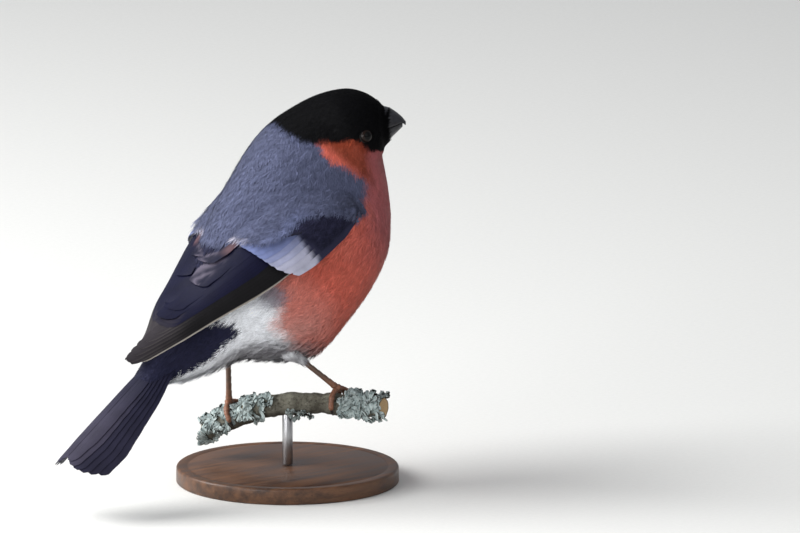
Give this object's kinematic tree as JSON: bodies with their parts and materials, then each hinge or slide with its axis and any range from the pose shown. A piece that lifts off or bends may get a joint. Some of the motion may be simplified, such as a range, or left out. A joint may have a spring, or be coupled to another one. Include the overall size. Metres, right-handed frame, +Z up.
{
  "type": "bullfinch",
  "caption": "Small stout songbird gripping a short cut branch, head turned to its right, long tail hanging behind, on a round display base with a rod.",
  "frame": {"origin": "centre of the display base's underside, below the grip on the branch", "axes": "+Z up, +X the way the bird's breast faces, +Y to the bird's left"},
  "size_m": [0.1222, 0.068, 0.1206],
  "materials": {
    "cap": "glossy black feathers of the crown, face and chin",
    "nape": "black nape above, rosy red throat below, matt feathers",
    "body_feathers": "blue-grey back, rosy red breast, white vent and rump, matt loose feathers",
    "bill": "black horn with a soft shine",
    "eye": "very dark brown, wet gloss",
    "wing_feathers": "blue-black flight feathers with a sheen, pale grey tips on the greater coverts",
    "tail_feathers": "glossy blue-black feathers",
    "leg_skin": "reddish brown scaled skin, dark claws",
    "bark": "rough grey-brown bark",
    "base_wood": "dark stained wood, satin",
    "rod_steel": "brushed"
  },
  "bodies": {
    "root": {"head": "cap", "neck": "nape", "torso": "body_feathers", "bill_upper": "bill", "bill_lower": "bill", "eye_left": "eye", "eye_right": "eye", "wing_left": "wing_feathers", "wing_right": "wing_feathers", "tail": "tail_feathers", "tarsus_left": "leg_skin", "tarsus_right": "leg_skin", "foot_left": "leg_skin", "foot_right": "leg_skin", "perch": "bark", "stand_base": "base_wood", "stand_rod": "rod_steel"}
  },
  "joints": []
}
